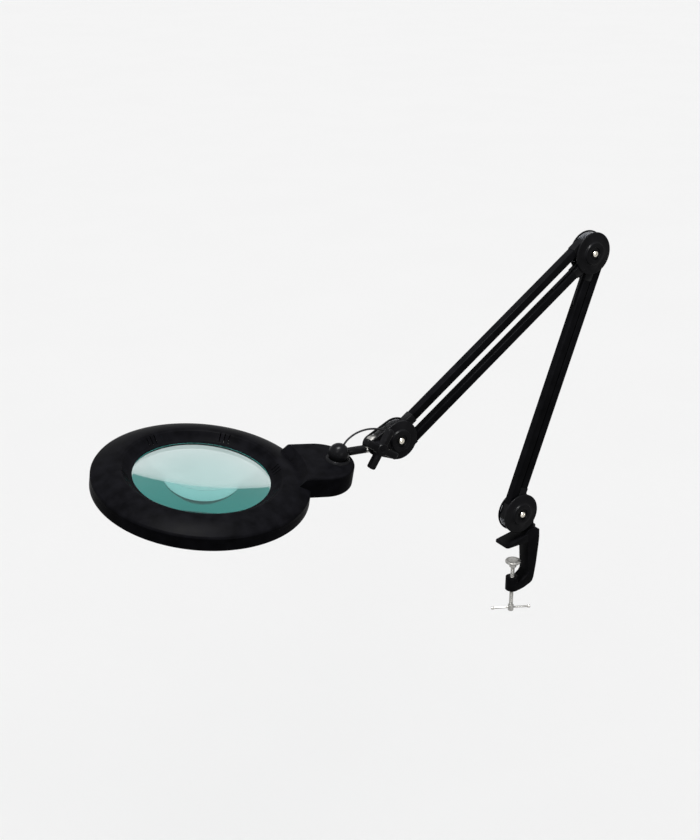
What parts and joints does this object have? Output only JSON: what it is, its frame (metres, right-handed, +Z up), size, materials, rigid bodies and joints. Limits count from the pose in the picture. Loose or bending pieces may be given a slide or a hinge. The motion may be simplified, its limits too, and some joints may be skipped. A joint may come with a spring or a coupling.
{
  "type": "magnifying lamp",
  "caption": "Clamp-on bench magnifying lamp: round lens head with a ring light on a jointed parallelogram arm, with tilt, swivel and a screw table clamp.",
  "frame": {"origin": "on the clamp screw's axis, in the plane of the table top under the upper jaw", "axes": "+Z up along the swivel pin and the clamp screw; +X away from the lamp head; arms lie in the XZ plane"},
  "size_m": [0.7691, 0.2821, 0.575],
  "materials": {
    "clamp_paint": "satin black",
    "tube_paint": "satin black",
    "cover_plastic": "matt black",
    "housing_plastic": "satin black",
    "zinc": "bright zinc",
    "steel": "plain",
    "screw_steel": "bright",
    "brass_insert": "plain",
    "cable": "matt black",
    "gasket_rubber": "matt black",
    "lens_glass": "clear, green-blue tint",
    "board": "white board",
    "led_cap": "yellow-white",
    "diffuser_plastic": "milky",
    "wire_red": "red",
    "button_plastic": "dark grey"
  },
  "bodies": {
    "clamp": {"clamp_frame": "clamp_paint"},
    "pad": {"pressure_pad": "zinc"},
    "screw": {"clamp_screw": "zinc"},
    "bar": {"tommy_bar": "zinc", "tommy_bar_stops": "zinc"},
    "base": {"base_pin": "clamp_paint", "base_plates": "steel", "base_cover_near": "cover_plastic", "base_cover_far": "cover_plastic", "base_screw": "screw_steel", "base_pivot_pins": "steel"},
    "lower_front": {"lower_tube_front": "tube_paint", "lower_sleeves_front": "cover_plastic", "lower_wire": "cable"},
    "lower_rear": {"lower_tube_rear": "tube_paint", "lower_sleeves_rear": "cover_plastic", "lower_spring": "steel"},
    "elbow": {"elbow_plates": "steel", "elbow_cover_near": "cover_plastic", "elbow_cover_far": "cover_plastic", "elbow_screw": "screw_steel", "elbow_pivot_pins": "steel", "elbow_cable": "cable"},
    "upper_top": {"upper_tube_top": "tube_paint", "upper_sleeves_top": "cover_plastic", "upper_spring": "steel"},
    "upper_bottom": {"upper_tube_bottom": "tube_paint", "upper_sleeves_bottom": "cover_plastic", "upper_wire": "cable"},
    "wrist": {"wrist_plates": "steel", "wrist_cover_near": "cover_plastic", "wrist_cover_far": "cover_plastic", "wrist_screw": "screw_steel", "wrist_pivot_pins": "steel", "tilt_bolt": "steel", "head_cable": "cable"},
    "knob": {"tilt_knob": "cover_plastic", "knob_insert": "brass_insert"},
    "tongue": {"tilt_tongue": "zinc"},
    "rod": {"head_rod": "steel", "rod_sleeve": "cover_plastic", "swivel_ball": "cover_plastic", "swivel_nut": "steel"},
    "head": {"swivel_collar": "cover_plastic", "head_upper_housing": "housing_plastic", "head_lower_housing": "housing_plastic", "lens": "lens_glass", "lens_gasket": "gasket_rubber", "lens_ring": "housing_plastic", "led_board": "board", "leds": "led_cap", "diffuser": "diffuser_plastic", "driver_board": "board", "board_wires": "wire_red", "housing_screws": "screw_steel", "button_switch": "button_plastic"},
    "button": {"power_button": "button_plastic"}
  },
  "joints": [
    {"name": "base_swivel", "type": "hinge", "parent": "clamp", "child": "base", "pos_m": [0.028, 0, 0.0475], "axis": [0, 0, 1], "continuous": true},
    {"name": "lower_arm_lift", "type": "hinge", "parent": "base", "child": "lower_front", "pos_m": [-0.01863, 0, 0.0475], "axis": [0, -1, 0], "range_deg": [-0.5, 75], "stiffness_Nm_per_rad": 6, "springref_deg": -62.88},
    {"name": "lower_rear_follow", "type": "hinge", "parent": "base", "child": "lower_rear", "pos_m": [0.004, 0, 0.07013], "axis": [0, -1, 0], "range_deg": [-1, 76], "stiffness_Nm_per_rad": 1, "springref_deg": 7.29},
    {"name": "elbow_follow", "type": "hinge", "parent": "lower_front", "child": "elbow", "pos_m": [0.11134, 0, 0.40458], "axis": [0, -1, 0], "range_deg": [-76, 1], "stiffness_Nm_per_rad": 8, "springref_deg": -65.87},
    {"name": "upper_arm_lift", "type": "hinge", "parent": "elbow", "child": "upper_top", "pos_m": [0.09401, 0, 0.44176], "axis": [0, -1, 0], "range_deg": [-80, 31], "stiffness_Nm_per_rad": 8, "springref_deg": -62.08},
    {"name": "upper_bottom_follow", "type": "hinge", "parent": "elbow", "child": "upper_bottom", "pos_m": [0.0968, 0, 0.40988], "axis": [0, -1, 0], "range_deg": [-81, 32], "stiffness_Nm_per_rad": 1, "springref_deg": -12.03},
    {"name": "wrist_follow", "type": "hinge", "parent": "upper_top", "child": "wrist", "pos_m": [-0.20498, 0, 0.2324], "axis": [0, -1, 0], "range_deg": [-32, 81], "stiffness_Nm_per_rad": 4, "springref_deg": -54.5},
    {"name": "head_tilt", "type": "hinge", "parent": "wrist", "child": "tongue", "pos_m": [-0.25244, 0, 0.21454], "axis": [0, -1, 0], "range_deg": [-55, 55], "stiffness_Nm_per_rad": 3, "springref_deg": -59.31, "deforming": ["head_cable"]},
    {"name": "knob_turn", "type": "hinge", "parent": "wrist", "child": "knob", "pos_m": [-0.25244, -0.0188, 0.21454], "axis": [0, -1, 0], "range_deg": [-90, 180]},
    {"name": "rod_twist", "type": "hinge", "parent": "tongue", "child": "rod", "pos_m": [-0.30694, 0, 0.21449], "axis": [0.9968, 0, -0.0802], "range_deg": [-15, 15], "stiffness_Nm_per_rad": 1, "springref_deg": 35.57},
    {"name": "head_swivel", "type": "hinge", "parent": "rod", "child": "head", "pos_m": [-0.30694, 0, 0.21449], "axis": [0.0636, -0.1606, 0.985], "range_deg": [-60, 25], "stiffness_Nm_per_rad": 0.5, "springref_deg": -38.75},
    {"name": "button_press", "type": "slide", "parent": "head", "child": "button", "axis": [0.0636, -0.1606, 0.985], "range_m": [0, 0.0011], "stiffness_N_per_m": 300},
    {"name": "screw_turn", "type": "hinge", "parent": "pad", "child": "screw", "pos_m": [0, 0, -0.07], "axis": [0, 0, 1], "range_deg": [-5800, 9400]},
    {"name": "pad_travel", "type": "slide", "parent": "clamp", "child": "pad", "axis": [0, 0, 1], "range_m": [-0.016, 0.026], "stiffness_N_per_m": 20, "springref_m": 0.0211},
    {"name": "bar_slide", "type": "slide", "parent": "screw", "child": "bar", "axis": [0.8988, -0.4384, 0], "range_m": [-0.02, 0.02]}
  ],
  "couplings": [
    {"joint": "lower_rear_follow", "follows": "lower_arm_lift", "ratio": 1},
    {"joint": "elbow_follow", "follows": "lower_arm_lift", "ratio": -1},
    {"joint": "upper_bottom_follow", "follows": "upper_arm_lift", "ratio": 1},
    {"joint": "wrist_follow", "follows": "upper_arm_lift", "ratio": -1},
    {"joint": "screw_turn", "follows": "pad_travel", "rad_per_m": 6283.2}
  ]
}
